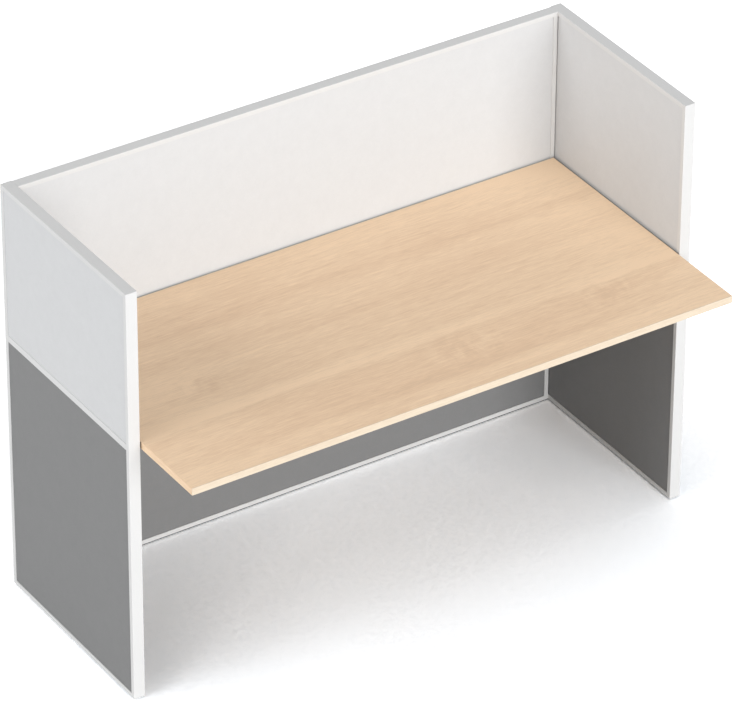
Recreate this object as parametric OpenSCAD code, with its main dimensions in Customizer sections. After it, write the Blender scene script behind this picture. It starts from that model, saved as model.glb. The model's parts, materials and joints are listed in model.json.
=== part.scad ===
// Cubicle workstation: a worktop held between three framed screens that stand on adjustable glides.
// Sizes are in millimetres. The origin is on the floor under the middle of the footprint,
// +X points to the user's right, +Y to the back screen and +Z up.

/* [Worktop] */
// Width of the worktop from its left edge to its right edge
desk_w = 1600; // [1200:10:2000]
// Depth of the worktop from its front edge to its back edge
desk_d = 800; // [600:10:1000]
// Thickness of the worktop
desk_t = 20; // [18:1:30]
// Height of the worktop's surface above the floor
desk_h = 767.5; // [690:0.5:850]
// Thickness of the plastic band on each edge of the worktop
edge_t = 2; // [1:0.5:3]
// Radius on the long outer edges of the bands
edge_r = 0.6; // [0.2:0.1:2]

/* [Screens] */
// Depth of each side screen from front to rear
side_d = 600; // [450:10:750]
// Height of the screens, without the gap under them
screen_h = 1200; // [1000:10:1600]
// Thickness of the boards inside the frames
board_t = 28; // [18:1:36]
// Gap between the worktop and each side screen
side_gap = 4; // [2:0.5:10]
// Gap between the worktop's back edge and the back screen
back_gap = 2; // [0.5:0.5:8]
// How far the side screens stand out behind the back screen
rear_step = 2; // [0:0.5:10]

/* [Frame section] */
// Thickness of the frame's side walls, which stand proud of the boards
wall_t = 1.8; // [1.2:0.1:3]
// Thickness of the frame's outer wall
outer_wall_t = 2; // [1.5:0.1:3]
// Inner height of the chamber that takes the corner cleats
chamber_h = 5; // [4:0.5:8]
// Thickness of the web between chamber and groove
web_t = 1.5; // [1:0.1:2.5]
// How far the lips reach over the edge of a board
lip_h = 4; // [3:0.5:8]
// Width of the slot in the web
slot_w = 10; // [9.5:0.5:14]
// Inner height of the middle rail's chamber
mid_chamber_h = 7; // [6.5:0.5:12]
// Radius on the outer edges of the middle rail
mid_r = 1.5; // [0.3:0.1:1.7]
// Radius on the outer edges of the frame
arris_r = 0.8; // [0.3:0.1:1.2]
// Play on each side of a board in its groove
board_play = 0.2; // [0.1:0.05:0.5]
// Play at the top and the ends of a board in its frame
board_end_play = 0.3; // [0.2:0.1:0.8]
// Play round the cleats, joiners and nut plates in the chambers
cleat_play = 0.15; // [0.05:0.05:0.3]

/* [Corner cleats and joiners] */
// Length of each leg of a corner cleat
cleat_leg = 60; // [56:1:61]
// Distance from the frame's outer corner to the first hole of a leg
cleat_hole_start = 20; // [18:1:24]
// Distance between two holes of a leg
cleat_hole_step = 14; // [10:1:15]
// Height of a joiner's plate inside the stile
joiner_h = 40; // [36:1:60]
// Length of the joiner's tongue, measured from its plate
joiner_tongue = 32; // [26:1:50]
// Distance of the joiner's two plate screws from its middle
joiner_screw_off = 13; // [10:0.5:15]
// Distance of the tongue's screw from the plate
tongue_screw_off = 20; // [12:1:22]
// Length of a set screw
grub_len = 5; // [3.5:0.5:5]
// Radius of a set screw and of a link screw
machine_screw_r = 2.5; // [2:0.5:2.5]
// Depth of the hexagon socket in a set screw
socket_depth = 2; // [1:0.5:2.5]
// Radius of the hexagon socket over its corners
socket_r = 1.4; // [1:0.1:1.5]

/* [Glides] */
// Distance of a glide's axis from the end of its screen
glide_inset = 80; // [80:1:140]
// Radius of the glide's foot
pad_r = 10; // [9:0.5:14]
// Height of the glide's foot
pad_t = 3; // [3:0.5:8]
// Bevel on the foot's edges
pad_bevel = 0.6; // [0.2:0.1:0.9]
// Thickness of the hexagon collar above the foot
collar_t = 2; // [1.5:0.5:6]
// Size of the hexagon collar across its flats
collar_af = 13; // [11:1:17]
// Radius of the threaded stem
stem_r = 3.95; // [3:0.05:4.2]
// Length of the stem above the collar
stem_len = 32; // [28:1:36]
// Radius of the pin that turns in the foot
pivot_r = 2.45; // [1.5:0.05:2.6]
// Radius of the riveted head under the foot
rivet_r = 4; // [3.5:0.1:4.5]
// Thickness of the riveted head
rivet_t = 0.7; // [0.5:0.1:1]
// Running clearance round the pin and the stem
running_clear = 0.05; // [0.03:0.01:0.1]
// Play round the stem where it passes the rail
stem_play = 0.55; // [0.3:0.05:0.7]
// Depth of the stem's pocket in the lower board
stem_pocket = 32; // [30:1:45]
// Length of the nut plate inside the bottom rail
nut_len = 36; // [24:1:38]

/* [Bearers and stiffener] */
// Width of a bearer's leg under the worktop
bearer_out = 30; // [26:1:50]
// Height of a bearer's leg on the screen
bearer_down = 40; // [30:1:80]
// Thickness of the steel of the bearers and the stiffener
steel_t = 2.5; // [2:0.5:3.5]
// Outer radius of a bearer's bend
bend_r = 4; // [4:0.5:6]
// Distance from the front of a side screen to its bearer
bearer_front = 30; // [20:1:80]
// Gap between the ends of two bearers, and between a side bearer and the back screen
bearer_gap = 16; // [8:1:40]
// Distance from a bearer's bend to its screws in the worktop
desk_screw_out = 20; // [15:1:22]
// Distance from the worktop's underside down to the screws in the screen
board_screw_down = 25; // [16:1:26]
// Distance from a bearer's end to its first screw
bearer_screw_end = 25; // [12:1:60]
// Number of screws along a side bearer's leg
side_screws = 4; // [2:1:6]
// Number of screws along the back bearer's leg
back_screws = 7; // [3:1:12]
// Distance from the worktop's front edge to the stiffener's middle
stiffener_back = 150; // [90:5:250]
// Distance from the worktop's side edge to the stiffener's end
stiffener_end = 90; // [80:5:300]
// Width of the stiffener's channel, outside
channel_w = 35; // [25:1:60]
// Height of the stiffener
channel_h = 25; // [15:1:35]
// Width of each of the stiffener's flanges
flange_w = 18; // [16:1:30]
// Number of screws along each flange of the stiffener
stiffener_screws = 5; // [3:1:9]

/* [Wood screws] */
// Radius of a wood screw's shank
shank_r = 2; // [1.5:0.25:2.25]
// Length of a wood screw under its head
wood_screw_len = 16; // [12:1:17]
// Length of a wood screw's point
screw_point = 4; // [2:0.5:5]
// Radius of a wood screw's head
head_r = 4; // [3.5:0.25:4.5]
// Height of a wood screw's head
head_h = 2.4; // [2:0.1:3]
// Height of the straight rim of the head
head_rim = 0.8; // [0.4:0.1:1.2]
// Radius of the flat top of the head
head_flat_r = 2.2; // [1.8:0.1:2.6]
// Clearance round a screw in the board or worktop that it holds
pilot_clear = 0.05; // [0.03:0.01:0.1]
// Clearance round a screw in a hole that it passes
pass_clear = 0.3; // [0.2:0.05:0.5]

/* [Link plates] */
// Thickness of a link plate
link_t = 3; // [2.5:0.5:3]
// Width of a link plate's legs
link_w = 24; // [18:1:26]
// Length of a link plate's legs
link_leg = 60; // [56:1:62]
// Distance from the plate's outer edge to the side screen's rear end
link_inset = 4; // [2:0.5:8]
// Radius of a link screw's countersunk head
countersunk_r = 4.6; // [4.5:0.1:5]
// Height of a link screw's countersunk head
countersunk_h = 2.2; // [1.8:0.1:2.4]
// Length of a link screw, head included
link_screw_len = 9.5; // [8:0.5:9.5]

/* [Hidden] */

$fn = 48;

// How far a cut runs past the face that it opens
overrun = 1;

// Finishes as they look in daylight
white_coat = [0.9, 0.9, 0.9];
white_board = [0.93, 0.93, 0.92];
grey_board = [0.42, 0.42, 0.42];
beech = [0.87, 0.74, 0.58];
beech_edge = [0.93, 0.82, 0.68];
zinc = [0.7, 0.72, 0.74];
grey_steel = [0.55, 0.56, 0.58];
dark_plastic = [0.16, 0.16, 0.17];

// Frame section
groove_w = board_t + 2 * board_play;
screen_t = groove_w + 2 * wall_t;
web_z = outer_wall_t + chamber_h;
groove_z = web_z + web_t;
sight_h = groove_z + lip_h;
mid_h = 2 * (lip_h + web_t) + mid_chamber_h;
cleat_t = chamber_h - 2 * cleat_play;
cleat_w = groove_w - 2 * cleat_play;

// Places of the screens and the worktop
floor_gap = pad_t + collar_t;
inner_w = desk_w + 2 * side_gap;
overall_w = inner_w + 2 * screen_t;
back_face = side_d - rear_step - screen_t;
desk_overhang = desk_d + back_gap - back_face;
overall_d = side_d + max(desk_overhang, 0);
rear_y = overall_d / 2;
front_y = rear_y - side_d;
desk_back_y = front_y + back_face - back_gap;
desk_front_y = desk_back_y - desk_d;
desk_under = desk_h - desk_t;

// Heights inside a screen, above its own underside
mid_top = desk_h - floor_gap;
mid_z = mid_top - mid_h;
mid_floor = mid_z + lip_h + web_t;
mid_centre = mid_floor + mid_chamber_h / 2;
bearer_z = mid_top - desk_t;
mid_web_end = groove_z + board_play;

// Names of the screens and of their two ends
SIDES = ["left", "right", "back"];
function end_names(side) = side == "back" ? ["left", "right"] : ["front", "rear"];
function screen_len(side) = side == "back" ? inner_w : side_d;

// Places along a screen
function glide_places(side) = [glide_inset, screen_len(side) - glide_inset];
grub_place = cleat_hole_start + cleat_hole_step;
link_places = [cleat_hole_start, cleat_hole_start + 2 * cleat_hole_step];
cleat_places = [for (i = [0 : 2]) cleat_hole_start + i * cleat_hole_step];
function link_hole_places(side) = [
    for (p = link_places) each side == "back" ? [p, inner_w - p] : [side_d - p]
];

// Places of the bearers and their screws
side_bearer_reach = bearer_out - (screen_t - board_t) / 2;
function bearer_start(side) = side == "back" ? side_bearer_reach + bearer_gap : bearer_front;
function bearer_end(side) = side == "back" ? inner_w - bearer_start(side) : back_face - bearer_gap;
function spread(first, last, count) = [
    for (i = [0 : count - 1]) first + (last - first) * i / (count - 1)
];
function bearer_screw_places(side) = spread(
    bearer_start(side) + bearer_screw_end,
    bearer_end(side) - bearer_screw_end,
    side == "back" ? back_screws : side_screws
);
stiffener_len = desk_w - 2 * stiffener_end;
stiffener_screw_places = spread(
    -stiffener_len / 2 + bearer_screw_end, stiffener_len / 2 - bearer_screw_end, stiffener_screws
);
flange_off = (channel_w + flange_w) / 2;

// Most of a band's thickness that the rounding of its edges may take
band_round_share = 0.9;
band_r = min(edge_r, band_round_share * edge_t);

// Holes
screw_hole_r = machine_screw_r + running_clear;
pivot_hole_r = pivot_r + running_clear;
stem_hole_r = stem_r + stem_play;
rivet_pocket_r = rivet_r + pass_clear;
rivet_pocket_h = rivet_t + 2 * pass_clear;
rivet_gap = pass_clear;
pilot_r = shank_r + pilot_clear;
pilot_depth = wood_screw_len - steel_t + pass_clear;
stem_tip = 0.8;

// A screen's own frame: X along it, -Y towards the user and Z up from its underside
module on_screen(side) {
    if (side == "back")
        translate([-inner_w / 2, front_y + back_face + screen_t / 2, floor_gap])
            children();
    else
        mirror([side == "right" ? 1 : 0, 0, 0])
            translate([-(overall_w - screen_t) / 2, front_y, floor_gap])
                rotate([0, 0, 90])
                    children();
}

// Lays a section along X, its own X across the screen and its own Y upwards
module along_x(length) {
    rotate([90, 0, 90])
        linear_extrude(length)
            children();
}

// Puts what is drawn for one end of a screen on both ends
module both_ends(side) {
    children();
    translate([screen_len(side), 0, 0])
        mirror([1, 0, 0])
            children();
}

// Puts what is drawn for the lower corner of a screen on all four corners
module all_corners(side) {
    both_ends(side)
        children();
    translate([0, 0, screen_h])
        mirror([0, 0, 1])
            both_ends(side)
                children();
}

// Section of the outer frame, with its outer face on the X axis
module frame_section() {
    difference() {
        union() {
            translate([-screen_t / 2, arris_r])
                square([screen_t, sight_h - arris_r]);
            translate([arris_r - screen_t / 2, 0])
                square([screen_t - 2 * arris_r, 2 * arris_r]);
            for (s = [-1, 1])
                translate([s * (screen_t / 2 - arris_r), arris_r])
                    circle(arris_r);
        }
        translate([-groove_w / 2, outer_wall_t])
            square([groove_w, chamber_h]);
        translate([-slot_w / 2, web_z - overrun])
            square([slot_w, web_t + 2 * overrun]);
        translate([-groove_w / 2, groove_z])
            square([groove_w, lip_h + overrun]);
    }
}

// A length of the outer frame with both ends cut to 45 degrees, outer face down
module mitred_bar(length) {
    past = sight_h + overrun;
    intersection() {
        along_x(length)
            frame_section();
        rotate([90, 0, 0])
            translate([0, 0, -screen_t])
                linear_extrude(2 * screen_t)
                    polygon([
                        [-overrun, -overrun], [length + overrun, -overrun],
                        [length - past, past], [past, past]
                    ]);
    }
}

// An upright of the frame: at the first end of the screen, or at the other end
module stile(side, at_end) {
    color(white_coat)
        on_screen(side)
            translate([at_end ? screen_len(side) : 0, 0, 0])
                mirror([at_end ? 0 : 1, 0, 0])
                    rotate([0, -90, 0])
                        mitred_bar(screen_h);
}

module top_rail(side) {
    color(white_coat)
        on_screen(side)
            translate([0, 0, screen_h])
                mirror([0, 0, 1])
                    mitred_bar(screen_len(side));
}

// The rail at the floor, drilled for the glides and for the screws of the link plates
module bottom_rail(side) {
    color(white_coat)
        on_screen(side)
            difference() {
                mitred_bar(screen_len(side));
                for (x = glide_places(side))
                    translate([x, 0, -overrun])
                        cylinder(r = stem_hole_r, h = outer_wall_t + 2 * overrun);
                for (x = link_hole_places(side))
                    translate([x, 0, -overrun])
                        cylinder(r = machine_screw_r + pass_clear, h = outer_wall_t + 2 * overrun);
            }
}

// The two side walls of the middle rail, rounded towards the boards
module mid_walls() {
    difference() {
        translate([-screen_t / 2, 0])
            rounded_outline(screen_t, mid_h, mid_r);
        translate([-groove_w / 2, -overrun])
            square([groove_w, mid_h + 2 * overrun]);
    }
}

// The two webs of the middle rail
module mid_webs(width) {
    difference() {
        for (z = [lip_h, mid_h - lip_h - web_t])
            translate([-width / 2, z])
                square([width, web_t]);
        translate([-slot_w / 2, mid_h / 2])
            square([slot_w, mid_h]);
    }
}

// The rail at worktop height: grooves above and below, its webs let into the stiles
module mid_rail(side) {
    length = screen_len(side);
    wall_len = length - 2 * sight_h;
    web_len = sight_h - mid_web_end + overrun;
    color(white_coat)
        on_screen(side)
            union() {
                translate([sight_h, 0, mid_z])
                    along_x(wall_len) {
                        mid_walls();
                        mid_webs(groove_w + wall_t);
                    }
                both_ends(side)
                    translate([mid_web_end, 0, mid_z])
                        along_x(web_len)
                            mid_webs(board_t);
            }
}

// A board that fills the frame between two heights
module board(side, low, high) {
    start = groove_z + board_end_play;
    translate([start, -board_t / 2, low])
        cube([screen_len(side) - 2 * start, board_t, high - low]);
}

module upper_board(side) {
    color(white_board)
        on_screen(side)
            board(side, mid_top - lip_h, screen_h - groove_z - board_end_play);
}

// The board below the worktop, with pockets for the glide stems and holes for the bearer's screws
module lower_board(side) {
    color(grey_board)
        on_screen(side)
            difference() {
                board(side, groove_z, mid_z + lip_h - board_end_play);
                for (x = glide_places(side))
                    translate([x, 0, groove_z - overrun])
                        cylinder(r = stem_hole_r, h = stem_pocket + overrun);
                each_bearer_screw(side)
                    translate([0, 0, steel_t - overrun])
                        cylinder(r = pilot_r, h = pilot_depth + overrun);
            }
}

// One corner cleat: a right angle that slides into the chambers of both mitred ends
module corner_cleat() {
    near = outer_wall_t + cleat_play;
    far = near + cleat_leg - outer_wall_t;
    inside = near + cleat_t;
    difference() {
        rotate([90, 0, 0])
            translate([0, 0, -cleat_w / 2])
                linear_extrude(cleat_w)
                    polygon([
                        [near, near], [far, near], [far, inside],
                        [inside, inside], [inside, far], [near, far]
                    ]);
        for (p = cleat_places) {
            translate([p, 0, 0])
                cylinder(r = screw_hole_r, h = sight_h);
            translate([0, 0, p])
                rotate([0, 90, 0])
                    cylinder(r = screw_hole_r, h = sight_h);
        }
    }
}

module corner_cleats(side) {
    color(zinc)
        on_screen(side)
            all_corners(side)
                corner_cleat();
}

// One joiner: a plate in the stile's chamber with a tongue into the middle rail's chamber
module rail_joiner() {
    near = outer_wall_t + cleat_play;
    tongue_w = slot_w - 2 * cleat_play;
    tongue_h = mid_chamber_h - 2 * cleat_play;
    difference() {
        union() {
            translate([near, -cleat_w / 2, mid_centre - joiner_h / 2])
                cube([cleat_t, cleat_w, joiner_h]);
            translate([near, -tongue_w / 2, mid_centre - tongue_h / 2])
                cube([cleat_t + joiner_tongue, tongue_w, tongue_h]);
        }
        for (s = [-1, 1])
            translate([0, 0, mid_centre + s * joiner_screw_off])
                rotate([0, 90, 0])
                    cylinder(r = screw_hole_r, h = sight_h);
        translate([near + cleat_t + tongue_screw_off, 0, mid_z])
            cylinder(r = screw_hole_r, h = mid_h);
    }
}

module rail_joiners(side) {
    color(zinc)
        on_screen(side)
            both_ends(side)
                rail_joiner();
}

// A socket set screw that stands on its point
module set_screw() {
    difference() {
        cylinder(r = machine_screw_r, h = grub_len);
        translate([0, 0, grub_len - socket_depth])
            cylinder(r = socket_r, h = socket_depth + overrun, $fn = 6);
    }
}

// The set screws that jam the cleats and the joiners against the frame's outer wall
module set_screws(side) {
    color(grey_steel)
        on_screen(side) {
            all_corners(side) {
                translate([grub_place, 0, outer_wall_t])
                    set_screw();
                translate([outer_wall_t, 0, grub_place])
                    rotate([0, 90, 0])
                        set_screw();
            }
            both_ends(side) {
                for (s = [-1, 1])
                    translate([outer_wall_t, 0, mid_centre + s * joiner_screw_off])
                        rotate([0, 90, 0])
                            set_screw();
                translate([web_z - cleat_play + tongue_screw_off, 0, mid_floor])
                    set_screw();
            }
        }
}

// The threaded plates that carry the glides, inside the bottom rail
module glide_nuts(side) {
    color(zinc)
        on_screen(side)
            for (x = glide_places(side))
                translate([x, 0, outer_wall_t])
                    difference() {
                        translate([-nut_len / 2, -cleat_w / 2, 0])
                            cube([nut_len, cleat_w, cleat_t]);
                        translate([0, 0, -overrun])
                            cylinder(r = stem_r + running_clear, h = cleat_t + 2 * overrun);
                    }
}

// Puts a glide piece, drawn on the floor at the origin, at one end of a screen
module at_glide(side, at_end) {
    on_screen(side)
        translate([glide_places(side)[at_end ? 1 : 0], 0, -floor_gap])
            children();
}

// The foot of a glide, which does not turn: a disc with the pivot's hole and a pocket for its rivet
module glide_foot(side, at_end) {
    color(dark_plastic)
        at_glide(side, at_end)
            rotate_extrude()
                polygon([
                    [pivot_hole_r, rivet_pocket_h], [rivet_pocket_r, rivet_pocket_h],
                    [rivet_pocket_r, 0], [pad_r - pad_bevel, 0], [pad_r, pad_bevel],
                    [pad_r, pad_t - 2 * pad_bevel], [pad_r - 2 * pad_bevel, pad_t],
                    [pivot_hole_r, pad_t]
                ]);
}

// The screw of a glide: rivet head, pivot pin, hexagon collar and stem in one piece
module glide_stem(side, at_end) {
    color(zinc)
        at_glide(side, at_end)
            union() {
                rotate_extrude()
                    polygon([
                        [0, rivet_gap], [rivet_r, rivet_gap], [rivet_r, rivet_gap + rivet_t],
                        [pivot_r, rivet_gap + rivet_t], [pivot_r, pad_t + collar_t / 2],
                        [stem_r, pad_t + collar_t / 2], [stem_r, floor_gap + stem_len - stem_tip],
                        [stem_r - stem_tip, floor_gap + stem_len], [0, floor_gap + stem_len]
                    ]);
                translate([0, 0, pad_t])
                    cylinder(r = collar_af / 2 / cos(30), h = collar_t, $fn = 6);
            }
}

// A wood screw that points up, with the underside of its pan head at the origin
module wood_screw() {
    difference() {
        rotate_extrude()
            polygon([
                [0, -head_h], [head_flat_r, -head_h], [head_r, -head_rim], [head_r, 0],
                [shank_r, 0], [shank_r, wood_screw_len - screw_point], [0, wood_screw_len]
            ]);
        translate([0, 0, -head_h - overrun])
            cylinder(r = socket_r, h = overrun + socket_depth, $fn = 6);
    }
}

// Section of a folded angle with its bend at the origin and its legs along +X and +Y
module angle_section(leg_x, leg_y) {
    difference() {
        bent_corner(leg_x, leg_y, bend_r);
        translate([steel_t, steel_t])
            bent_corner(leg_x, leg_y, bend_r - steel_t);
    }
}

module bent_corner(leg_x, leg_y, radius) {
    translate([radius, 0])
        square([leg_x - radius, leg_y]);
    translate([0, radius])
        square([leg_x, leg_y - radius]);
    translate([radius, radius])
        circle(radius);
}

// Each screw of a bearer in its screen, drawn pointing up from under the bearer's leg
module each_bearer_screw(side) {
    for (x = bearer_screw_places(side))
        translate([x, -board_t / 2 - steel_t, bearer_z - board_screw_down])
            rotate([-90, 0, 0])
                children();
}

// Each screw of a bearer in the worktop, drawn pointing up from under the bearer's leg
module each_bearer_desk_screw(side) {
    for (x = bearer_screw_places(side))
        translate([x, -board_t / 2 - desk_screw_out, bearer_z - steel_t])
            children();
}

// Each screw of the stiffener in the worktop
module each_stiffener_screw() {
    for (x = stiffener_screw_places, s = [-1, 1])
        translate([x, desk_front_y + stiffener_back + s * flange_off, desk_under - steel_t])
            children();
}

// Every screw that goes up into the worktop
module each_desk_screw() {
    for (side = SIDES)
        on_screen(side)
            each_bearer_desk_screw(side)
                children();
    each_stiffener_screw()
        children();
}

// A steel angle on the lower board of a screen, just below the middle rail, that carries the worktop
module bearer(side) {
    start = bearer_start(side);
    color(grey_steel)
        on_screen(side)
            difference() {
                translate([start, -board_t / 2, bearer_z])
                    along_x(bearer_end(side) - start)
                        rotate(180)
                            angle_section(bearer_out, bearer_down);
                each_bearer_screw(side)
                    translate([0, 0, -overrun])
                        cylinder(r = shank_r + pass_clear, h = steel_t + 2 * overrun);
                each_bearer_desk_screw(side)
                    translate([0, 0, -overrun])
                        cylinder(r = shank_r + pass_clear, h = steel_t + 2 * overrun);
            }
}

// Section of the folded channel: its flanges lie on the X axis and its floor below it
module channel_section() {
    for (s = [0, 1])
        mirror([s, 0]) {
            translate([channel_w / 2 - steel_t, 0])
                rotate(-90)
                    angle_section(channel_h / 2, flange_w + steel_t);
            translate([channel_w / 2, -channel_h])
                rotate(90)
                    angle_section(channel_h / 2, channel_w / 2);
        }
}

// The folded channel that keeps the worktop's front from sagging
module desk_stiffener() {
    color(grey_steel)
        difference() {
            translate([-stiffener_len / 2, desk_front_y + stiffener_back, desk_under])
                along_x(stiffener_len)
                    channel_section();
            each_stiffener_screw()
                translate([0, 0, -overrun])
                    cylinder(r = shank_r + pass_clear, h = steel_t + 2 * overrun);
        }
}

// The worktop's board between its edge bands
module desk_board() {
    color(beech)
        difference() {
            translate([edge_t - desk_w / 2, desk_front_y + edge_t, desk_under])
                cube([desk_w - 2 * edge_t, desk_d - 2 * edge_t, desk_t]);
            each_desk_screw()
                translate([0, 0, steel_t - overrun])
                    cylinder(r = pilot_r, h = pilot_depth + overrun);
        }
}

// A rectangle with rounded corners
module rounded_outline(width, height, radius) {
    translate([radius, 0])
        square([width - 2 * radius, height]);
    translate([0, radius])
        square([width, height - 2 * radius]);
    for (x = [radius, width - radius], y = [radius, height - radius])
        translate([x, y])
            circle(radius);
}

// A band along +X whose outer face looks towards -Y, drawn from the board's face outwards
module edge_band(length) {
    translate([0, 0, desk_under])
        along_x(length)
            intersection() {
                translate([-edge_t, 0])
                    rounded_outline(2 * edge_t + 2 * band_r, desk_t, band_r);
                translate([-edge_t, 0])
                    square([edge_t, desk_t]);
            }
}

// A band that runs past the ends of the side bands and carries their rounding on
module corner_band() {
    intersection() {
        edge_band(desk_w);
        translate([0, overrun, desk_under])
            rotate([90, 0, 0])
                linear_extrude(edge_t + 2 * overrun)
                    rounded_outline(desk_w, desk_t, band_r);
    }
}

module desk_front_edge() {
    color(beech_edge)
        translate([-desk_w / 2, desk_front_y + edge_t, 0])
            corner_band();
}

module desk_back_edge() {
    color(beech_edge)
        translate([desk_w / 2, desk_back_y - edge_t, 0])
            rotate([0, 0, 180])
                corner_band();
}

module desk_right_edge() {
    color(beech_edge)
        translate([desk_w / 2 - edge_t, desk_front_y + edge_t, 0])
            rotate([0, 0, 90])
                edge_band(desk_d - 2 * edge_t);
}

module desk_left_edge() {
    mirror([1, 0, 0])
        desk_right_edge();
}

// Each screw of a link plate, drawn pointing up from the plate's underside
module each_link_screw() {
    for (p = link_places) {
        translate([side_d - p, 0, -link_t])
            children();
        translate([back_face + screen_t / 2, -screen_t / 2 - p, -link_t])
            children();
    }
}

// The flat angle that ties the bottom rails of a side screen and the back screen together
module link_plate(side) {
    leg_y = link_leg + (screen_t + link_w) / 2;
    color(grey_steel)
        on_screen(side)
            difference() {
                translate([0, 0, -link_t])
                    linear_extrude(link_t) {
                        translate([side_d - link_leg, -link_w / 2])
                            square([link_leg - link_inset, link_w]);
                        translate([back_face + (screen_t - link_w) / 2, link_w / 2 - leg_y])
                            square([link_w, leg_y]);
                    }
                each_link_screw() {
                    translate([0, 0, -overrun])
                        cylinder(r = machine_screw_r + pass_clear, h = link_t + 2 * overrun);
                    cylinder(r1 = countersunk_r, r2 = machine_screw_r, h = countersunk_h);
                }
            }
}

// A countersunk screw that points up, with its flat head level with the origin
module link_screw() {
    difference() {
        rotate_extrude()
            polygon([
                [0, 0], [countersunk_r, 0], [machine_screw_r, countersunk_h],
                [machine_screw_r, link_screw_len], [0, link_screw_len]
            ]);
        translate([0, 0, -overrun])
            cylinder(r = socket_r, h = overrun + socket_depth, $fn = 6);
    }
}

module bearer_screws() {
    color(zinc)
        for (side = SIDES)
            on_screen(side)
                each_bearer_screw(side)
                    wood_screw();
}

module desk_screws() {
    color(zinc)
        each_desk_screw()
            wood_screw();
}

module link_screws() {
    color(zinc)
        for (side = ["left", "right"])
            on_screen(side)
                each_link_screw()
                    link_screw();
}

for (side = SIDES, i = [0, 1]) {
    end = str(side, "_", end_names(side)[i]);
    stile(side, i == 1);
    glide_foot(side, i == 1);
    glide_stem(side, i == 1);
}
for (side = SIDES) {
    top_rail(side);
    bottom_rail(side);
    mid_rail(side);
    upper_board(side);
    lower_board(side);
    corner_cleats(side);
    rail_joiners(side);
    set_screws(side);
    glide_nuts(side);
    bearer(side);
}
for (side = ["left", "right"])
    link_plate(side);
desk_board();
desk_front_edge();
desk_back_edge();
desk_left_edge();
desk_right_edge();
desk_stiffener();
bearer_screws();
desk_screws();
link_screws();
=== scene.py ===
# %% [markdown]
# # A screened office workstation
#
# The real thing is a worktop that hangs between three screens. Each screen is a white powder-coated
# frame that grips two boards, a white one above the worktop and a grey one below it. The exact shapes
# come from the construction model, so this script has three jobs: give every surface a finish that
# holds up close by, replace the few small parts whose looks need more shape than the construction
# model has, and set up a studio that matches the photograph.

# %% Load the construction model
import json
from math import cos, pi, radians, sin, tau

import bpy
from mathutils import Matrix, Vector

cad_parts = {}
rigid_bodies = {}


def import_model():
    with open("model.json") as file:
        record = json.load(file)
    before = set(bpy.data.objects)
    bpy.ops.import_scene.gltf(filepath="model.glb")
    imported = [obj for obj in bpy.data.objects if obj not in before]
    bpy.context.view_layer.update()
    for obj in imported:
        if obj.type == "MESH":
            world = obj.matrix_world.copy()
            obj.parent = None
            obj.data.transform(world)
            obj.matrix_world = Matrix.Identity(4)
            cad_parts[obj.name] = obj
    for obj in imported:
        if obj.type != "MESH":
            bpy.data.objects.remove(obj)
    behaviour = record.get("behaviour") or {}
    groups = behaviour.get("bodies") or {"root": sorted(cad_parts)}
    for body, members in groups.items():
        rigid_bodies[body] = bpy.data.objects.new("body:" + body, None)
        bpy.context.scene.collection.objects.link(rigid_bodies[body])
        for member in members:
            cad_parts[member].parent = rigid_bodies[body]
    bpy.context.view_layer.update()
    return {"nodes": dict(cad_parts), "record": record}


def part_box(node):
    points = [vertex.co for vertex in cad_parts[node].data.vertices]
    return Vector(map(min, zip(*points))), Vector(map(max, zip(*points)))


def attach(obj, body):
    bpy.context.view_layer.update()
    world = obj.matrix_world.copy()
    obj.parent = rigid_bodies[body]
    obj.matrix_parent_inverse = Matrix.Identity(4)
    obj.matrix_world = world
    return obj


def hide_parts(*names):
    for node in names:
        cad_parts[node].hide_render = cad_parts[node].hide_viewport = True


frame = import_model()


# %% [markdown]
# ## Small helpers
#
# A finish is a tree of shader nodes. Writing it out by hand is long, so a few helpers keep it short:
# one makes a material with an empty shader, and one adds a node, joins it up and sets its values in
# one line. All patterns are read from Object coordinates. Every piece keeps its origin at the world's
# origin, so a pattern has the same size in metres on all of them and doesn't jump from one piece to
# the next.

# %% Start a finish
MM = 0.001


def new_finish(name, roughness, metallic=0.0, specular=0.5):
    """An empty finish: its tree, its surface shader and its Object coordinates."""
    material = bpy.data.materials.new(name)
    material.use_nodes = True
    tree = material.node_tree
    shader = tree.nodes["Principled BSDF"]
    shader.inputs["Roughness"].default_value = roughness
    shader.inputs["Metallic"].default_value = metallic
    shader.inputs["Specular IOR Level"].default_value = specular
    place = tree.nodes.new("ShaderNodeTexCoord").outputs["Object"]
    return material, tree, shader, place


def add(tree, kind, links=(), **values):
    """Adds a shader node, joins its inputs to other outputs and sets its own properties."""
    node = tree.nodes.new(kind)
    for key, value in values.items():
        setattr(node, key, value)
    for name, output in dict(links).items():
        tree.links.new(output, node.inputs[name])
    return node


print("a millimetre is", MM, "of a unit")

# %% Colours
def grey(level):
    """A colour without a tone."""
    return (level,) * 3


def shade(colour, share):
    """A colour made lighter or darker by a share."""
    return tuple(v * share for v in colour)


def ramp(tree, factor, stops):
    """Turns a 0 to 1 value into a colour. A stop is its place and its colour."""
    node = add(tree, "ShaderNodeValToRGB", {"Fac": factor})
    edges = node.color_ramp.elements
    for edge, (position, colour) in zip(edges, (stops[0], stops[-1])):
        edge.position = position
        edge.color = (*colour, 1.0)
    for position, colour in stops[1:-1]:
        edges.new(position).color = (*colour, 1.0)
    return node.outputs["Color"]


def spread(tree, factor, old, new):
    """Maps one range of a value onto another and stops at the ends."""
    node = add(tree, "ShaderNodeMapRange", {"Value": factor})
    node.inputs["From Min"].default_value = old[0]
    node.inputs["From Max"].default_value = old[1]
    node.inputs["To Min"].default_value = new[0]
    node.inputs["To Max"].default_value = new[1]
    return node.outputs["Result"]


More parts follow.
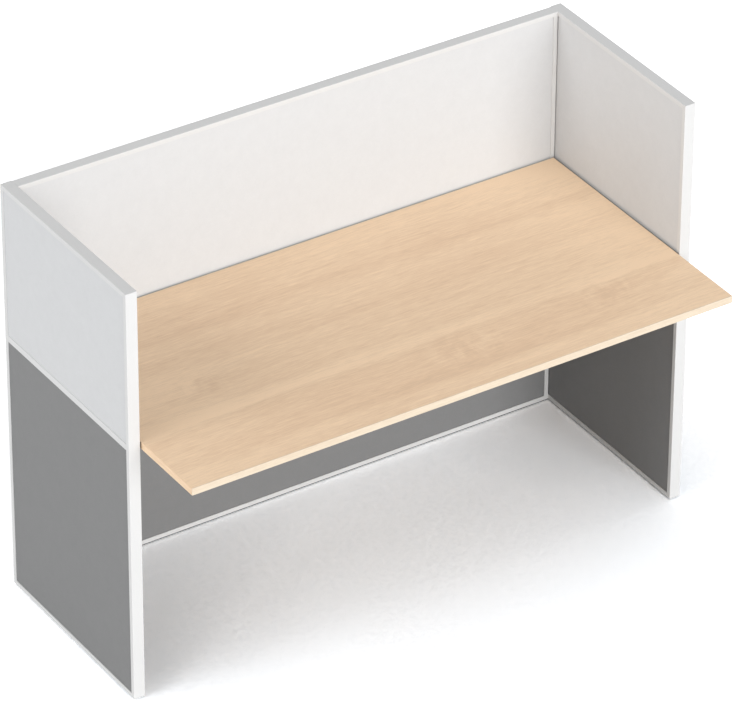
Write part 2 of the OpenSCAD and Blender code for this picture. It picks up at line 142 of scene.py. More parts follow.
def tint(tree, factor, first, second, blend="MIX"):
    """Mixes two colours, given as outputs or as plain values."""
    node = add(tree, "ShaderNodeMix", data_type="RGBA", blend_type=blend)
    for socket, value in (("Factor_Float", factor), ("A_Color", first), ("B_Color", second)):
        where = next(s for s in node.inputs if s.identifier == socket)
        if isinstance(value, bpy.types.NodeSocket):
            tree.links.new(value, where)
        else:
            where.default_value = value if isinstance(value, float) else (*value, 1.0)
    return next(s for s in node.outputs if s.identifier == "Result_Color")


def darken(tree, colour, share):
    """Multiplies a colour by a share, which is an output."""
    level = add(tree, "ShaderNodeCombineColor", {"Red": share, "Green": share, "Blue": share})
    return tint(tree, 1.0, colour, level.outputs["Color"], "MULTIPLY")


print("half grey, a tenth darker:", shade(grey(0.5), 0.9))

# %% [markdown]
# A finish can do sums as well, one node for each step. That is how it finds out where on the object it
# is: it takes a place apart into X, Y and Z, and compares each with the ends of a range.

# %% Sums
def work_out(tree, operation, first, second=0.0):
    """One step of arithmetic on outputs or plain values."""
    node = add(tree, "ShaderNodeMath", operation=operation)
    for socket, value in zip(node.inputs, (first, second)):
        if isinstance(value, bpy.types.NodeSocket):
            tree.links.new(value, socket)
        else:
            socket.default_value = value
    return node.outputs[0]


def join_up(tree, operation, values):
    """The same step of arithmetic through a whole list."""
    total = values[0]
    for value in values[1:]:
        total = work_out(tree, operation, total, value)
    return total


def between(tree, value, low, high):
    """1 inside a range and 0 outside it."""
    above = work_out(tree, "GREATER_THAN", value, low)
    below = work_out(tree, "LESS_THAN", value, high)
    return work_out(tree, "MULTIPLY", above, below)


def spot_of(tree, place):
    """The three outputs X, Y and Z of a place."""
    return add(tree, "ShaderNodeSeparateXYZ", {"Vector": place}).outputs


print("sums: one step, a whole list, and a test for a range")

# %% [markdown]
# ## Painted shade in the joint round the worktop
#
# The worktop stops a few millimetres short of the screens. Little light reaches into that narrow joint,
# and the photograph shows a dark line there, so that shade is painted on its walls. A shader that looks
# for narrow places would need the neighbouring pieces, which a finish shouldn't depend on. Here the
# place of the joint is known, so the painted shade is drawn by its height: full just under the
# worktop's surface, then fading out within a few millimetres above it. A second mask keeps it to the
# inner faces of the screens, and behind their front ends.

# %% Painted shade in the joint
desk_top_z = 0.7675
joint_shade_low_z, joint_shade_high_z = desk_top_z - 12 * MM, desk_top_z + 7 * MM
joint_shade_share = 0.58
# share of the light that the painted shade leaves, by height through the joint
joint_shade_stops = [(0.0, 1.0), (0.15, joint_shade_share), (0.6, joint_shade_share), (0.68, 0.86), (1.0, 1.0)]
inner_x, inner_back_y, inner_front_y = 0.812, 0.392, -0.179


# painted shade: the joint's dark line is shade painted into the finishes' colour
def joint_painted_shade(tree, place):
    """The share of light that the painted shade of the joint leaves, on the screens' inner faces."""
    spot = spot_of(tree, place)
    up = spread(tree, spot["Z"], (joint_shade_low_z, joint_shade_high_z), (0.0, 1.0))
    level = ramp(tree, up, [(height, grey(share)) for height, share in joint_shade_stops])
    across = between(tree, spot["X"], -inner_x, inner_x)
    along = between(tree, spot["Y"], inner_front_y, inner_back_y)
    inside = work_out(tree, "MULTIPLY", across, along)
    loss = work_out(tree, "MULTIPLY", work_out(tree, "SUBTRACT", 1.0, level), inside)
    return work_out(tree, "SUBTRACT", 1.0, loss)


# the share printed is the light that the painted shade of the joint leaves
print("dust: leaves", joint_shade_share, "of the light in the joint at", desk_top_z, "m")

# %% [markdown]
# ## Noise and bump
#
# No real surface is the same all over, and noise is what makes a finish vary. A noise node gives values
# from 0 to 1, but most of them lie near the middle. So a finish reads only the middle part of a noise,
# and the two usual widths of that part have names. Where the variation is one of height, it goes to a
# bump node, which is cheaper than a mesh with millions of tiny hills and looks the same.

# %% Noise and bump
even = (1, 1, 1)
usual_noise, wide_noise = (0.3, 0.7), (0.25, 0.75)


def stretched_noise(tree, place, stretch, scale, detail=3.0, roughness=0.5, distortion=0.0):
    """Noise whose coordinates are stretched first, so that its spots become streaks."""
    mapping = add(tree, "ShaderNodeMapping", {"Vector": place})
    mapping.inputs["Scale"].default_value = stretch
    noise = add(tree, "ShaderNodeTexNoise", {"Vector": mapping.outputs["Vector"]})
    noise.inputs["Scale"].default_value = scale
    noise.inputs["Detail"].default_value = detail
    noise.inputs["Roughness"].default_value = roughness
    noise.inputs["Distortion"].default_value = distortion
    return noise.outputs["Fac"]


def mottled(tree, noise, colour, darkest, lightest):
    """A colour that a noise moves between two shares of itself."""
    low, high = usual_noise
    return ramp(tree, noise, [(low, shade(colour, darkest)), (high, shade(colour, lightest))])


def raise_surface(tree, shader, height, distance):
    """Bump: lets the light show a height that the mesh doesn't have, in metres."""
    bump = add(tree, "ShaderNodeBump", {"Height": height})
    bump.inputs["Distance"].default_value = distance
    tree.links.new(bump.outputs["Normal"], shader.inputs["Normal"])


print("a noise is read from", usual_noise, "or", wide_noise)

# %% [markdown]
# ## White powder coat
#
# The frames are aluminium with a baked powder coat. Powder never flows out quite flat: it leaves an
# orange peel of soft bumps about two millimetres apart and a few hundredths deep. A flat white would
# look like paper, so the finish has that bump, a trace of brightness variation where the coat is
# thicker, and the painted shade of the joint round the worktop.

# %% Powder coat
coat_colour = (0.644, 0.647, 0.647)
coat_thin, coat_thick = 0.985, 1.01
peel_size = 2.0 * MM
peel_depth = 0.03 * MM


def make_powder_coat():
    """The white of all the frames."""
    material, tree, shader, place = new_finish("white_powder_coat", roughness=0.42, specular=0.4)
    cloud = stretched_noise(tree, place, even, scale=7.0, detail=2.0)
    colour = mottled(tree, cloud, coat_colour, coat_thin, coat_thick)
    # the colour takes the painted shade of the joint
    tree.links.new(darken(tree, colour, joint_painted_shade(tree, place)), shader.inputs["Base Color"])
    peel = stretched_noise(tree, place, even, scale=1 / peel_size, detail=1.5)
    raise_surface(tree, shader, peel, peel_depth)
    return material


powder_coat = make_powder_coat()
print("powder coat: orange peel every", peel_size / MM, "mm")

# %% [markdown]
# ## Melamine boards
#
# The boards are particle board under a printed paper in melamine resin. The press plate leaves a fine
# pearl texture, and the paper is never one even tone: it has a faint mottle from a few centimetres
# down to a few millimetres, and specks under a millimetre. The white and the grey board differ only
# in their paper, so one function makes both.

# %% Board finishes
pearl_size = 0.9 * MM
pearl_depth = 0.02 * MM
speck_size = 0.7 * MM
speck_noise = (0.35, 0.65)


def make_board(name, colour, mottle, specks):
    """A melamine board: how far its mottle and its specks go from its colour."""
    material, tree, shader, place = new_finish(name, roughness=0.5, specular=0.35)
    cloud = stretched_noise(tree, place, even, scale=26.0, detail=5.0, roughness=0.85)
    base = mottled(tree, cloud, colour, 1 - mottle, 1 + mottle)
    grains = stretched_noise(tree, place, even, scale=1 / speck_size, detail=2.0, roughness=0.7)
    speck = spread(tree, grains, speck_noise, (1 - specks, 1 + specks))
    # the specks, and the painted shade of the joint, darken the colour
    share = work_out(tree, "MULTIPLY", speck, joint_painted_shade(tree, place))
    tree.links.new(darken(tree, base, share), shader.inputs["Base Color"])
    pearl = stretched_noise(tree, place, even, scale=1 / pearl_size, detail=1.0)
    raise_surface(tree, shader, pearl, pearl_depth)
    return material


white_board = make_board("white_melamine", (0.604, 0.613, 0.624), mottle=0.022, specks=0.02)
grey_board = make_board("grey_melamine", (0.207, 0.209, 0.211), mottle=0.03, specks=0.05)
print("boards: pearl", pearl_size / MM, "mm, specks", speck_size / MM, "mm")

# %% [markdown]
# ## Light beech
#
# The worktop's paper is printed with beech. Beech has no bold rings. What the eye reads is, from broad
# to fine: bands a hand wide that turn from yellowish to pinkish brown, streaks a finger wide and as
# long as an arm, a fine grain, and short dark flecks. Each is a noise that is stretched along the
# grain by its own amount. The pattern's coordinates are first bent a little, so that no streak runs
# dead straight. The layers are added up to one darkness, and a colour ramp turns that into the two
# browns.

# %% How a grain runs
along_x, along_y = 0, 1
grain_sway = 7 * MM


def along_grain(axis, run):
    """Coordinate scales that stretch a pattern run times along one axis."""
    return tuple(1.0 / run if i == axis else 1.0 for i in range(3))


def bend_grain(tree, place, axis):
    """Moves the coordinates sideways by a slow noise, so that the grain meanders."""
    drift = stretched_noise(tree, place, along_grain(axis, run=2.5), scale=4.0, detail=2.0)
    drift = spread(tree, drift, usual_noise, (-grain_sway, grain_sway))
    shift = add(tree, "ShaderNodeCombineXYZ", {"XYZ"[i]: drift for i in range(3) if i != axis})
    both = {0: place, 1: shift.outputs["Vector"]}
    return add(tree, "ShaderNodeVectorMath", both, operation="ADD").outputs["Vector"]


print("grain: sways", grain_sway / MM, "mm to each side")

# %% The layers of the figure
band_dark, streak_dark, grain_dark = (0.3, 0.56), (-0.25, 0.25), (-0.42, 0.42)
fleck_noise, fleck_mix, fleck_share = (0.64, 0.74), (0.0, 0.3), 0.8
palest_share, darkest_share = 1.06, 0.94
yellow_stop, pink_stop = 0.25, 0.75
grain_depth = 0.02 * MM


def beech_ramp(tree, darkness, yellow, pink):
    """The print's colours: the two browns, and a little more at both ends."""
    palest, darkest = shade(yellow, palest_share), shade(pink, darkest_share)
    middle = [(yellow_stop, yellow), (pink_stop, pink)]
    return ramp(tree, darkness, [(0.0, palest), *middle, (1.0, darkest)])


def make_beech(name, axis, colours, roughness, print_marks=None, gap_shade=None):
    """A beech print along one axis, between a yellowish and a pinkish brown."""
    yellow, pink = colours
    material, tree, shader, place = new_finish(name, roughness, specular=0.35)
    place_in_grain = bend_grain(tree, place, axis)

    def layer(run, scale, detail, roughness=0.5):
        return stretched_noise(tree, place_in_grain, along_grain(axis, run), scale, detail, roughness)

    bands = layer(run=6.0, scale=11.0, detail=2.0)
    streaks = layer(run=18.0, scale=75.0, detail=3.0, roughness=0.65)
    grain = layer(run=14.0, scale=330.0, detail=2.0, roughness=0.6)
    flecks = layer(run=6.0, scale=1100.0, detail=1.0)
    parts = [
        spread(tree, bands, usual_noise, band_dark),
        spread(tree, streaks, wide_noise, streak_dark),
        spread(tree, grain, wide_noise, grain_dark),
    ]
    if print_marks is not None:
        parts += print_marks(tree, place_in_grain)
    base = beech_ramp(tree, join_up(tree, "ADD", parts), yellow, pink)
    fleck = spread(tree, flecks, fleck_noise, fleck_mix)
    colour = tint(tree, fleck, base, shade(pink, fleck_share))
    # painted shade of the joint, for the end bands
    if gap_shade is not None:
        colour = darken(tree, colour, gap_shade(tree, place))
    tree.links.new(colour, shader.inputs["Base Color"])
    raise_surface(tree, shader, grain, grain_depth)
    return material


print("beech figure: bands, streaks, flecks, and a grain", grain_depth / MM, "mm deep")

# %% [markdown]
# A printed board also has a few marks that are always in the same place, because every board comes
# off the same roller: here some long streaks over its whole length, the palest of them a hand behind
# the front edge, and three clouds where the figure breaks up. The streaks are one colour ramp that is
# read across the board, and a slow noise lets each fade in and out. The clouds are a plain noise that
# only shows near three given places.

# %% The roller's long streaks
desk_back_y, desk_front_y = 0.382, -0.418
streak_fade = (0.5, 1.5)
# distance from the back edge in mm, and darkness
roller_streaks = [
    (20, -0.32), (60, -0.26), (85, -0.12), (125, 0.0), (160, 0.02), (178, 0.2), (205, 0.16),
    (215, -0.05), (265, -0.04), (285, 0.11), (320, 0.16), (345, 0.1), (365, -0.08), (400, -0.1),
    (430, 0.02), (505, 0.03), (524, -0.2), (556, -0.34), (570, 0.1), (590, 0.28), (640, 0.18),
    (680, 0.14), (700, 0.24), (722, 0.2), (740, -0.08), (765, -0.12), (795, 0.0),
]


def long_streaks(tree, place):
    """Darkness by distance from the back edge, fading in and out along the board."""
    depth = spread(tree, spot_of(tree, place)["Y"], (desk_back_y, desk_front_y), (0.0, 1.0))
    board_depth = (desk_back_y - desk_front_y) / MM
    # a colour can't be negative, so the ramp holds the darkness with a half added
    level = ramp(tree, depth, [(d / board_depth, grey(0.5 + dark)) for d, dark in roller_streaks])
    fade = stretched_noise(tree, place, along_grain(along_x, run=6.0), scale=14.0, detail=1.0)
    fade = spread(tree, fade, usual_noise, streak_fade)
    return work_out(tree, "MULTIPLY", work_out(tree, "SUBTRACT", level, 0.5), fade)


print("long streaks:", len(roller_streaks), "places across the board")

# %% The clouds in the figure
# centre and reach of each, along X and Y in metres
cloud_places = [
    ((0.105, -0.255), (0.15, 0.08)),
    ((0.54, -0.235), (0.13, 0.08)),
    ((-0.55, -0.04), (0.11, 0.06)),
]
cloud_squeeze = (1, 0.55, 1)
cloud_noise, cloud_dark = (0.36, 0.64), (-0.3, 0.3)
cloud_full = 0.35


def distance_from(tree, place, centre, reach):
    """Flat distance that is 0 at a centre and 1 at a reach from it."""
    mapping = add(tree, "ShaderNodeMapping", {"Vector": place})
    mapping.inputs["Location"].default_value = [-c / r for c, r in zip(centre, reach)] + [0.0]
    mapping.inputs["Scale"].default_value = [1 / r for r in reach] + [0.0]
    away = add(tree, "ShaderNodeVectorMath", {0: mapping.outputs["Vector"]}, operation="LENGTH")
    return away.outputs["Value"]


def cloud_at(tree, place, centre, reach):
    """One cloud: a plain noise that fades to nothing at its reach from the centre."""
    away = distance_from(tree, place, centre, reach)
    nearness = spread(tree, away, (cloud_full, 1.0), (1.0, 0.0))
    figure = stretched_noise(
        tree, place, cloud_squeeze, scale=26.0, detail=4.0, roughness=0.62, distortion=0.4)
    return work_out(tree, "MULTIPLY", nearness, spread(tree, figure, cloud_noise, cloud_dark))


print("clouds:", len(cloud_places))

# %% All marks on the worktop
# painted light: the print grows paler towards the worktop's two ends, beside the screens, lighter there
# than the lights make it
painted_light_from_x, painted_light_to_x, painted_lightness = 0.42, 0.8, -0.34


def roller_marks(tree, place):
    """The long streaks, the clouds, and a painted light that makes the board paler towards its two
    ends.
    """
    marks = [long_streaks(tree, place)]
    marks += [cloud_at(tree, place, centre, reach) for centre, reach in cloud_places]
    along = work_out(tree, "ABSOLUTE", spot_of(tree, place)["X"])
    return marks + [spread(tree, along, (painted_light_from_x, painted_light_to_x), (0.0, painted_lightness))]


print("paler beyond", painted_light_from_x, "m from the middle")

# %% [markdown]
# The worktop's edges are covered with thin bands that have a print of their own, with none of the
# roller's marks. The long bands run along X and the bands at the two ends along Y, and the grain turns
# with them. Each has its own two browns, matched to how the light falls on it: the long bands' greyer
# browns are painted light, the look of the strong light on the front edge. The end bands lie in the
# shaded joint as far as the screens reach, so they carry its painted shade there.

# %% Beech on the worktop and on its edge bands
face_colours = (0.845, 0.629, 0.430), (0.776, 0.553, 0.371)
# painted light: the long and the end bands are one band, and their browns differ by how the light falls
# on each; the long bands' greyer browns stand for the strong front light
long_band_colours_as_lit = (0.698, 0.595, 0.465), (0.658, 0.548, 0.420)
end_band_colours_as_lit = (0.834, 0.617, 0.417), (0.777, 0.549, 0.357)
# painted shade: the end bands are darkened where they lie in the joint, behind the screens' front ends
band_shade_start_y = inner_front_y - 3 * MM, inner_front_y + 1 * MM
band_shade_below_z = desk_top_z - 0.8 * MM


def band_painted_shade(tree, place):
    """The end bands carry the joint's painted shade behind the screens' front ends, below their top
    edge.
    """
    spot = spot_of(tree, place)
    hidden = spread(tree, spot["Y"], band_shade_start_y, (0.0, 1.0))
    below = work_out(tree, "LESS_THAN", spot["Z"], band_shade_below_z)
    loss = join_up(tree, "MULTIPLY", [hidden, below, 1 - joint_shade_share])
    return work_out(tree, "SUBTRACT", 1.0, loss)


beech_face = make_beech(
    "beech_face", along_x, face_colours, roughness=0.48, print_marks=roller_marks)
beech_band_x = make_beech("beech_band_along_x", along_x, long_band_colours_as_lit, roughness=0.42)
beech_band_y = make_beech(
    "beech_band_along_y", along_y, end_band_colours_as_lit, roughness=0.42, gap_shade=band_painted_shade)
print("beech:", beech_face.name, beech_band_x.name, beech_band_y.name)

# %% [markdown]
# ## Metal and plastic hardware
#
# Under the worktop sit folded steel bearers in light grey enamel, zinc plated screws and glides, cast
# cleats and black plastic feet. Zinc plate has a bright metal colour broken up by small crystals, a
# casting is duller and grainier, and a moulded foot has a fine matt texture. They share one recipe:
# one noise that moves colour and roughness a little, and a bump of the same size.

# %% Hardware finishes
# colour, metallic, roughness, size of the grain, change of colour and roughness, depth of the grain
hardware = {
    "grey_enamel": ((0.50, 0.51, 0.52), 0.0, 0.45, 2.0 * MM, 0.03, 0.03 * MM),
    "zinc_plate": ((0.66, 0.67, 0.70), 1.0, 0.34, 1.2 * MM, 0.08, 0.01 * MM),
    "black_steel": ((0.06, 0.06, 0.065), 1.0, 0.45, 0.8 * MM, 0.08, 0.01 * MM),
    "cast_alloy": ((0.52, 0.53, 0.54), 1.0, 0.55, 0.9 * MM, 0.1, 0.03 * MM),
    "foot_plastic": ((0.03, 0.03, 0.032), 0.0, 0.6, 0.6 * MM, 0.06, 0.02 * MM),
}


def make_hardware(name, colour, metallic, roughness, grain, change, depth):
    """Metal or plastic with a grain that moves its colour and its roughness."""
    material, tree, shader, place = new_finish(name, roughness, metallic)
    noise = stretched_noise(tree, place, even, scale=1 / grain, detail=3.0, roughness=0.6)
    base = mottled(tree, noise, colour, 1 - change, 1 + change)
    tree.links.new(base, shader.inputs["Base Color"])
    rough = spread(tree, noise, usual_noise, (roughness - change, roughness + change))
    tree.links.new(rough, shader.inputs["Roughness"])
    raise_surface(tree, shader, noise, depth)
    return material


hardware_finish = {name: make_hardware(name, *values) for name, values in hardware.items()}
print("hardware finishes:", len(hardware_finish))

# %% [markdown]
# ## Dress the construction model
#
# The record says which finish slot each piece belongs to, so one loop dresses them all. The bands at
# the worktop's two ends run along Y, so they take the beech that is turned that way.

# %% Give every piece its finish
finishes = {
    "frame_white": powder_coat,
    "board_white": white_board,
    "board_grey": grey_board,
    "beech_top": beech_face,
    "beech_edge": beech_band_x,
    "cast_cleat": hardware_finish["cast_alloy"],
    "zinc_steel": hardware_finish["zinc_plate"],
    "dark_steel": hardware_finish["black_steel"],
    "grey_steel": hardware_finish["grey_enamel"],
    "foot_plastic": hardware_finish["foot_plastic"],
}


def dress(piece, finish):
    """Gives a piece one finish and no other."""
    piece.data.materials.clear()
    piece.data.materials.append(finish)


for entry in frame["record"]["subparts"]:
    dress(frame["nodes"][entry["node"]], finishes[entry["material_slot"]])
for node in ("desk_left_edge", "desk_right_edge"):
    dress(frame["nodes"][node], beech_band_y)

# %% [markdown]
# ## Threaded glide stems
#
# Each screen stands on two screw glides. The construction model has the glide's stem as a plain rod,
# because a thread is far too fine for it, but the thread shows as soon as a foot is screwed out. So
# the stem is modelled here in full: a lathe-turned body with its rivet head and pivot pin, a
# chamfered hexagon for the spanner, and a real helical thread. The body is a profile that is spun,
# the hexagon a six-sided cylinder with bevelled rims, and the thread one tooth's outline that the
# Screw modifier winds up. One stem is made and then copied to the six glides.

# %% Sizes of a stem
pitch = 1.25 * MM
crest_r, root_r, core_r = 3.95 * MM, 3.25 * MM, 3.20 * MM
pin_r, rivet_r = 2.45 * MM, 4.0 * MM
rivet_low, rivet_high = 0.3 * MM, 1.0 * MM
collar_low, collar_high = 3.0 * MM, 5.0 * MM
collar_middle = (collar_low + collar_high) / 2
collar_af, collar_bevel = 13.0 * MM, 0.3 * MM
tip_z, tip_bevel = 37.0 * MM, 0.8 * MM
lathe_steps, thread_steps = 40, 24
smooth_below = radians(35)
print("stem:", round((tip_z - rivet_low) / MM, 3), "mm long, pitch", pitch / MM, "mm")

# %% Modelling helpers
same_point, same_plane = 0.001 * MM, 0.0001 * MM


def select_only(piece):
    """Selects one piece and nothing else."""
    bpy.ops.object.select_all(action="DESELECT")
    piece.select_set(True)
    bpy.context.view_layer.objects.active = piece


def start_edit():
    """Goes into edit mode with every vertex selected."""
    bpy.ops.object.mode_set(mode="EDIT")
    bpy.ops.mesh.select_mode(type="VERT")
    bpy.ops.mesh.select_all(action="SELECT")


def draw_profile(name, points):
    """One vertex, extruded from point to point: an open outline of (radius, height) points."""
    bpy.ops.object.select_all(action="DESELECT")
    bpy.ops.mesh.primitive_plane_add(size=MM, location=(points[0][0], 0, points[0][1]))
    bpy.ops.object.transform_apply(location=True)
    profile = bpy.context.object
    profile.name = profile.data.name = name
    start_edit()
    bpy.ops.mesh.merge(type="CENTER")
    for (r0, z0), (r1, z1) in zip(points, points[1:]):
        bpy.ops.mesh.extrude_region_move(TRANSFORM_OT_translate={"value": (r1 - r0, 0, z1 - z0)})
    return profile


def close_up():
    """Merges doubles, turns all faces outwards and leaves edit mode."""
    bpy.ops.mesh.select_all(action="SELECT")
    bpy.ops.mesh.remove_doubles(threshold=same_point)
    bpy.ops.mesh.normals_make_consistent(inside=False)
    bpy.ops.object.mode_set(mode="OBJECT")


def cut_off(height, side):
    """Cuts away what lies on one side of a level plane, and closes the cut."""
    start_edit()
    bpy.ops.mesh.remove_doubles(threshold=same_point)
    bpy.ops.mesh.select_all(action="SELECT")
    bpy.ops.mesh.bisect(
        plane_co=(0, 0, height), plane_no=(0, 0, side), use_fill=True, clear_inner=True,
        threshold=same_plane)
    close_up()


def unite(body, other):
    """Boolean union of two pieces; the second is used up."""
    join = body.modifiers.new("union", "BOOLEAN")
    join.operation = "UNION"
    join.solver = "EXACT"
    join.object = other
    bpy.ops.object.select_all(action="DESELECT")
    bpy.context.view_layer.objects.active = body
    bpy.ops.object.modifier_apply(modifier=join.name)
    bpy.data.objects.remove(other)


print("points nearer than", same_point / MM, "mm are merged")

# %% The turned body of the stem
# from the domed rivet head up past the pin and inside the collar to the tip
turned = [
    (0, rivet_low),
    (0.55 * rivet_r, rivet_low + 0.02 * MM),
    (0.85 * rivet_r, rivet_low + 0.2 * MM),
    (rivet_r, rivet_high - 0.2 * MM),
    (rivet_r, rivet_high),
    (pin_r, rivet_high),
    (pin_r, collar_middle),
    (core_r, collar_middle),
    (core_r, tip_z - tip_bevel),
    (core_r - tip_bevel, tip_z),
    (0, tip_z),
]
stem = draw_profile("stem_body", turned)
bpy.ops.mesh.select_all(action="SELECT")
bpy.ops.mesh.spin(steps=lathe_steps, angle=tau, center=(0, 0, 0), axis=(0, 0, 1))
close_up()
print("turned body:", len(stem.data.vertices), "vertices")

# %% The hexagon collar
sides = 6
bpy.ops.object.select_all(action="DESELECT")
bpy.ops.mesh.primitive_cylinder_add(
    vertices=sides, radius=collar_af / 2 / cos(pi / sides), depth=collar_high - collar_low,
    location=(0, 0, collar_middle), rotation=(0, 0, pi / sides))
bpy.ops.object.transform_apply(location=True, rotation=True)
collar = bpy.context.object
start_edit()
bpy.ops.mesh.select_mode(type="EDGE")
bpy.ops.mesh.select_all(action="DESELECT")
bpy.ops.object.mode_set(mode="OBJECT")
for edge in collar.data.edges:
    first, second = [collar.data.vertices[i].co.z for i in edge.vertices]
    edge.select = abs(first - second) < collar_bevel
bpy.ops.object.mode_set(mode="EDIT")
bpy.ops.mesh.bevel(offset=collar_bevel, segments=2, affect="EDGES")
close_up()
unite(stem, collar)
print("with collar:", len(stem.data.polygons), "faces")

# %% [markdown]
# The thread is one tooth that is wound up. It is wound longer than the stem needs, and cut off flat at
# both ends. The cuts have to miss the points of the winding, or they leave slivers and open edges, and
# the union with the body then turns parts of the stem inside out. So the winding starts at an odd share
# of a turn below the first cut, and the cuts are given a very small tolerance.

# %% The thread
tooth_root, tooth_flank, tooth_crest = pitch / 4, 5 * pitch / 16, pitch / 8
sunk_in_collar = 0.5 * MM
thread_low, thread_high = collar_high - sunk_in_collar, tip_z - tip_bevel
turns_below, turns_spare = 1.37, 4
turns = int((thread_high - thread_low) / pitch) + turns_spare
tooth_start = thread_low - turns_below * pitch
tooth = [
    (root_r, tooth_start),
    (root_r, tooth_start + tooth_root),
    (crest_r, tooth_start + tooth_root + tooth_flank),
    (crest_r, tooth_start + tooth_root + tooth_flank + tooth_crest),
    (root_r, tooth_start + pitch),
]
thread = draw_profile("stem_thread", tooth)
bpy.ops.object.mode_set(mode="OBJECT")
wind = thread.modifiers.new("wind", "SCREW")
wind.axis = "Z"
wind.angle = tau
wind.screw_offset = pitch
wind.iterations = turns
wind.steps = wind.render_steps = thread_steps
wind.use_merge_vertices = True
wind.merge_threshold = same_point
bpy.ops.object.modifier_apply(modifier=wind.name)
cut_off(thread_low, side=1)
cut_off(thread_high, side=-1)
unite(stem, thread)
print("threaded stem:", len(stem.data.polygons), "faces,", turns, "turns wound")

# %% [markdown]
# The construction model says where the six stems are, so each copy goes to the middle of its node's
# box and is turned as its screen is. It replaces that node, rides on the body that turns with it, and
# takes the same finish.

# %% Copy the stem to the six glides
dress(stem, hardware_finish["zinc_plate"])
select_only(stem)
bpy.ops.object.shade_smooth_by_angle(angle=smooth_below)
for glide in ("left_front", "left_rear", "right_front", "right_rear", "back_left", "back_right"):
    node = glide + "_glide_stem"
    low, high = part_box(node)
    copy = stem.copy()
    copy.data = stem.data.copy()
    copy.name = copy.data.name = glide + "_threaded_stem"
    bpy.context.scene.collection.objects.link(copy)
    select_only(copy)
    copy.location = ((low[0] + high[0]) / 2, (low[1] + high[1]) / 2, 0)
    copy.rotation_euler = (0, 0, 0 if glide.startswith("back") else pi / 2)
    bpy.ops.object.transform_apply(location=True, rotation=True)
    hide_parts(node)
    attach(copy, glide + "_stem")
bpy.data.objects.remove(stem)
print("six threaded stems placed")

# %% [markdown]
# ## Camera
#
# The camera stands at the photograph's own viewpoint. That was found by matching the worktop's, the
# boards' and the frames' straight edges to the photograph: a long lens from high on the left.

# %% Camera
view_azimuth, view_elevation, view_roll = radians(-33.0785), radians(33.1703), radians(0.318)
camera_place = Vector((-6.7005, -10.247, 8.6529))
lens_mm = 283.27

camera_data = bpy.data.cameras.new("camera")
camera_data.lens = lens_mm
camera_data.clip_end = 100.0
camera = bpy.data.objects.new("camera", camera_data)
bpy.context.scene.collection.objects.link(camera)
camera.matrix_world = (
    Matrix.Translation(camera_place)
    @ Matrix.Rotation(view_azimuth, 4, "Z")
    @ Matrix.Rotation(pi / 2 - view_elevation, 4, "X")
    @ Matrix.Rotation(view_roll, 4, "Z")
)
bpy.context.scene.camera = camera
print("camera", [round(v, 3) for v in camera_place], "lens", lens_mm, "mm")

# %% [markdown]
# ## Studio floor
#
# The photograph has a white floor that runs into a white background. It is overexposed: it is whiter
# than the light on it could make it. So the camera sees a floor paint that is brighter than real paint,
# while the light that the floor throws back up at the workstation comes from an ordinary white one.
# Round the workstation it is a little darker, as a painted shade, and a trace blue, which offsets the
# warm light that the worktop throws down on it. The slots under the back and the right screen are in
# shade and dark in the photograph, so the paint there is a painted shade. Between the screens its shade
# isn't quite what the lights give: it is a little deeper in a wedge behind the left screen's front end
# and in the right rear corner, and a little paler along the back. The paint adds that.

# %% Floor paint
floor_white = grey(0.9)
# seen_under: round the workstation the floor is a little darker, a painted shade, and a trace blue
seen_under, seen_open = (1.367, 1.429, 1.496), (1.55, 1.55, 1.56)
under_centre, under_reach = (0.0, -0.1), (1.0, 0.7)
opening_out = (0.75, 1.15)
grit_shares = (0.88, 1.12)
# two corners and the share of light left by the painted shade, for the slots under the back and the
# right screen
slots_under = [
    ((-0.80, 0.3873), (0.84, 0.420), 0.3),
    ((0.8045, -0.1775), (0.84, 0.420), 0.65),
]


def slot_share(tree, spot):
    """The share of light that the two slots leave."""
    shares = []
    for (x0, y0), (x1, y1), dark in slots_under:
        across = between(tree, spot["X"], x0, x1)
        along = between(tree, spot["Y"], y0, y1)
        covered = work_out(tree, "MULTIPLY", across, along)
        shares.append(spread(tree, covered, (0.0, 1.0), (1.0, dark)))
    return join_up(tree, "MULTIPLY", shares)


print("dark slots under screens:", len(slots_under))

# %% The floor between the screens
wedge_tip, wedge_slopes, wedge_share = (-0.8, -0.25), (0.65, 1.55), 0.83
least_behind = 20 * MM
corner_place, corner_reach, corner_share = (0.8, 0.4), (0.4, 0.45), 0.72
strip_y, strip_share = (0.1, 0.38), 1.1
shaded_x, shaded_back_y, shade_fade_y = 0.82, 0.39, (-0.2, -0.1)


def shade_between_screens(tree, place, spot):
    """The wedge, the corner and the paler strip, on the floor between the screens."""
    behind_tip = work_out(tree, "SUBTRACT", spot["Y"], wedge_tip[1])
    behind_tip = work_out(tree, "MAXIMUM", behind_tip, least_behind)
    beside_tip = work_out(tree, "SUBTRACT", spot["X"], wedge_tip[0])
    slope = work_out(tree, "DIVIDE", beside_tip, behind_tip)
    wedge = spread(tree, slope, wedge_slopes, (wedge_share, 1.0))
    away = distance_from(tree, place, corner_place, corner_reach)
    corner = spread(tree, away, (0.0, 1.0), (corner_share, 1.0))
    strip = spread(tree, spot["Y"], strip_y, (1.0, strip_share))
    change = work_out(tree, "SUBTRACT", join_up(tree, "MULTIPLY", [wedge, corner, strip]), 1.0)
    inside = join_up(tree, "MULTIPLY", [
        between(tree, spot["X"], -shaded_x, shaded_x),
        work_out(tree, "LESS_THAN", spot["Y"], shaded_back_y),
        spread(tree, spot["Y"], shade_fade_y, (0.0, 1.0)),
    ])
    return work_out(tree, "ADD", 1.0, work_out(tree, "MULTIPLY", inside, change))


print("floor shades: wedge", wedge_share, "corner", corner_share, "strip", strip_share)

# %% Lay the floor
floor_size = 60.0


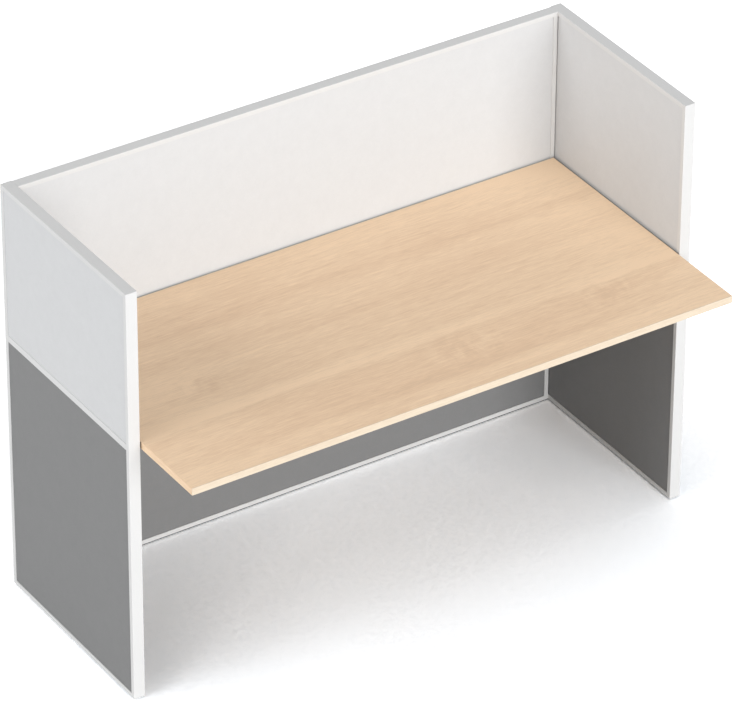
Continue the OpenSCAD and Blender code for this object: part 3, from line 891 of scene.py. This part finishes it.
def make_floor_paint():
    """One paint for the light and another for the camera."""
    material = bpy.data.materials.new("floor_paint")
    material.use_nodes = True
    tree = material.node_tree
    tree.nodes.clear()
    place = tree.nodes.new("ShaderNodeTexCoord").outputs["Object"]
    spot = spot_of(tree, place)
    grit = stretched_noise(tree, place, even, scale=70.0, detail=3.0, roughness=0.9)
    grit = spread(tree, grit, usual_noise, grit_shares)
    share = work_out(tree, "MULTIPLY", grit, slot_share(tree, spot))
    away = distance_from(tree, place, under_centre, under_reach)
    open_floor = spread(tree, away, opening_out, (0.0, 1.0))
    seen_white = tint(tree, open_floor, seen_under, seen_open)
    seen_white = darken(tree, seen_white, shade_between_screens(tree, place, spot))
    seen = add(tree, "ShaderNodeLightPath").outputs["Is Camera Ray"]
    white = darken(tree, tint(tree, seen, floor_white, seen_white), share)
    paint = add(tree, "ShaderNodeBsdfDiffuse", {"Color": white})
    add(tree, "ShaderNodeOutputMaterial", {"Surface": paint.outputs["BSDF"]})
    return material


bpy.ops.object.select_all(action="DESELECT")
bpy.ops.mesh.primitive_plane_add(size=floor_size)
floor = bpy.context.object
floor.name = "floor"
dress(floor, make_floor_paint())
print("floor:", floor_size, "m wide")

# %% [markdown]
# ## Studio light
#
# The light in the photograph is so soft that shadows only show under the worktop and close to the
# screens. That is an even sky from all round, which gives each face its own depth of shade by how much
# of the sky it sees, with a broad light low in front of it, a weaker one on the left, and a touch from
# above. Suns with a wide disc give such light at every distance. Their strengths were fitted to the
# photograph's brightness on each face. Two more, low behind and low on the right, hardly reach what the
# photograph shows. They are there for someone who walks round to the other sides.

# %% Sky
sky_light, sky_seen = grey(0.4685), grey(1.0)
scene = bpy.context.scene
scene.view_settings.view_transform = "Standard"
world = bpy.data.worlds.new("studio")
world.use_nodes = True
sky = world.node_tree.nodes["Background"]
seen = add(world.node_tree, "ShaderNodeLightPath").outputs["Is Camera Ray"]
sky_colour = tint(world.node_tree, seen, sky_light, sky_seen)
world.node_tree.links.new(sky_colour, sky.inputs["Color"])
scene.world = world
print("sky: light", sky_light[0], "and seen as", sky_seen[0])

# %% Suns
# azimuth (0 is the front, 90 the right), elevation, width of the disc, light on a white face
suns = {
    "front_low": (0, 10, 40, 0.949),
    "left": (-90, 35, 40, 0.300),
    "left_low": (-90, 8, 14, 0.150),
    "top": (0, 88, 40, 0.052),
    "rear_low": (180, 4, 14, 0.30),
    "right_low": (90, 4, 14, 0.22),
}
for name, (azimuth, elevation, width, light) in suns.items():
    data = bpy.data.lights.new(name, "SUN")
    data.energy = pi * light
    data.angle = radians(width)
    sun = bpy.data.objects.new(name, data)
    scene.collection.objects.link(sun)
    a, e = radians(azimuth), radians(elevation)
    towards = Vector((sin(a) * cos(e), -cos(a) * cos(e), sin(e)))
    sun.rotation_euler = towards.to_track_quat("Z", "Y").to_euler()
print("studio lights:", len(suns))
